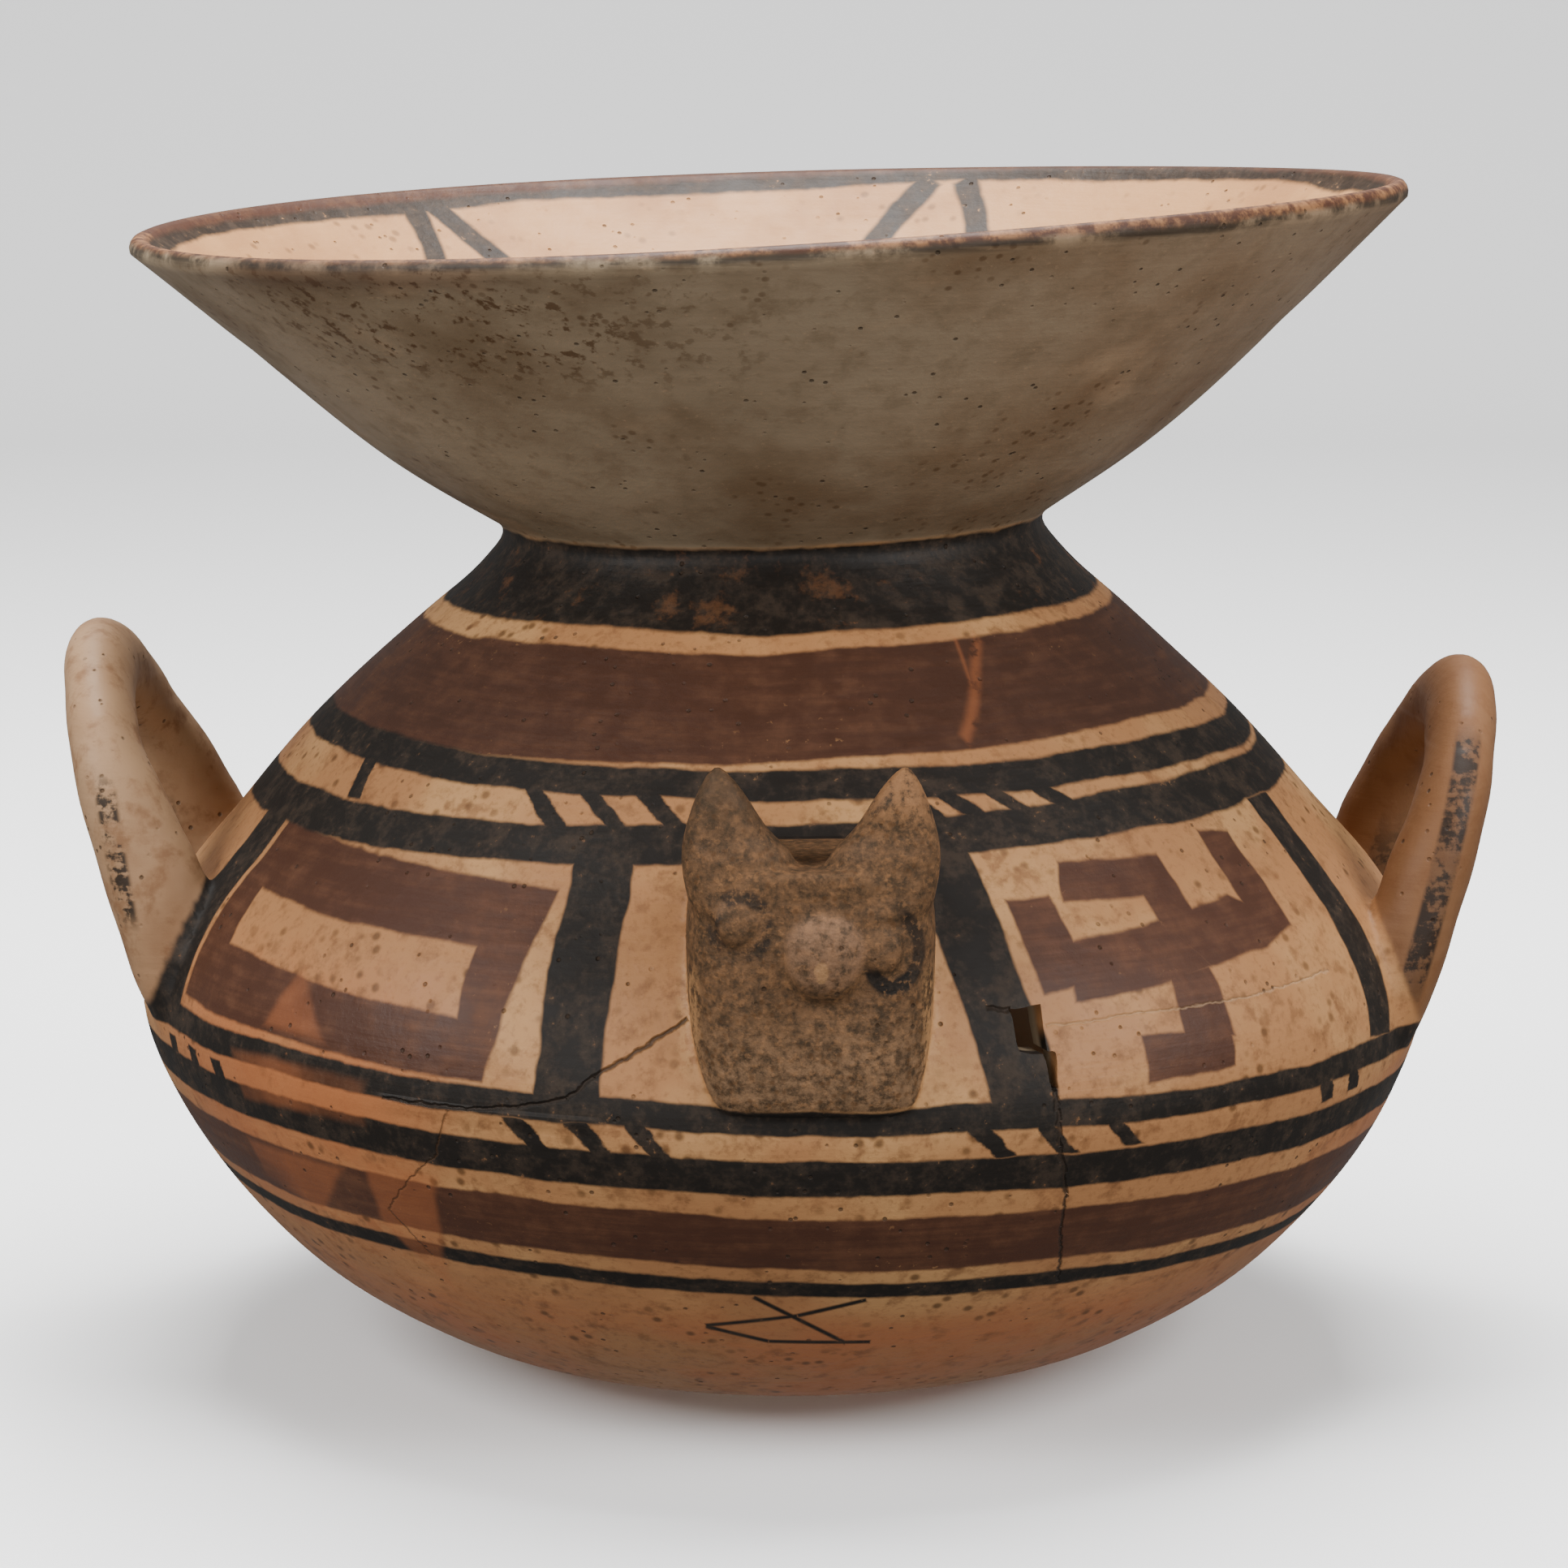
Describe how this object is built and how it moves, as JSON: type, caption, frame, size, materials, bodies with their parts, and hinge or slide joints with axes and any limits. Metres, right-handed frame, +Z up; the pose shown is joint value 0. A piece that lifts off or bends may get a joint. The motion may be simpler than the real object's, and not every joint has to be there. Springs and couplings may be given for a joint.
{
  "type": "olla",
  "caption": "Round-bellied painted clay jar with a wide funnel mouth, two upturned loop handles and small animal heads on its belly.",
  "frame": {"origin": "middle of the flat foot, on the surface the jar stands on", "axes": "+Z up through the mouth, -Y out of the front head, +X to the right seen from the front"},
  "size_m": [0.3231, 0.3096, 0.2619],
  "materials": {
    "fired_clay": "satin"
  },
  "bodies": {
    "root": {"olla": "fired_clay"}
  },
  "joints": []
}
